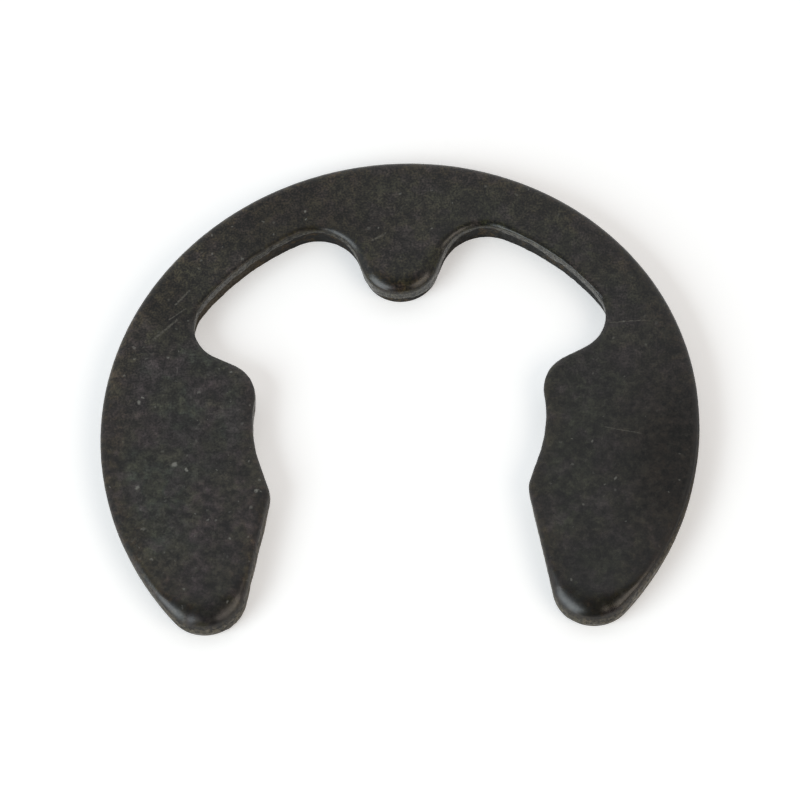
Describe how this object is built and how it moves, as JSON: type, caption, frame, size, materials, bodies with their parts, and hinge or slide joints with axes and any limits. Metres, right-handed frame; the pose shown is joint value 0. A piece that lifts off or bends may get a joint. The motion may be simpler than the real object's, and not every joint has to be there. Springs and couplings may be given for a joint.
{
  "type": "external retaining clip",
  "caption": "Flat E-shaped spring clip that is pushed sideways into a shaft's groove: a slim rim with a central tooth, two curved arms with gripping lips, and a flared mouth.",
  "frame": {"origin": "on the axis of the grooved shaft, at the centre of the circle that the arms' two seat arcs share, in the plane of the clip's lower face", "axes": "+Z along the shaft, out of the face with the rolled edge; +Y from the shaft's axis towards the tooth, so the mouth opens towards -Y; +X across the clip, which is symmetric about X = 0"},
  "size_m": [0.0294, 0.0251, 0.0015],
  "materials": {
    "phosphated_spring_steel": "black phosphate conversion coat with a trace of oil, satin, over hardened spring steel"
  },
  "bodies": {
    "root": {"retaining_clip": "phosphated_spring_steel"}
  },
  "joints": []
}
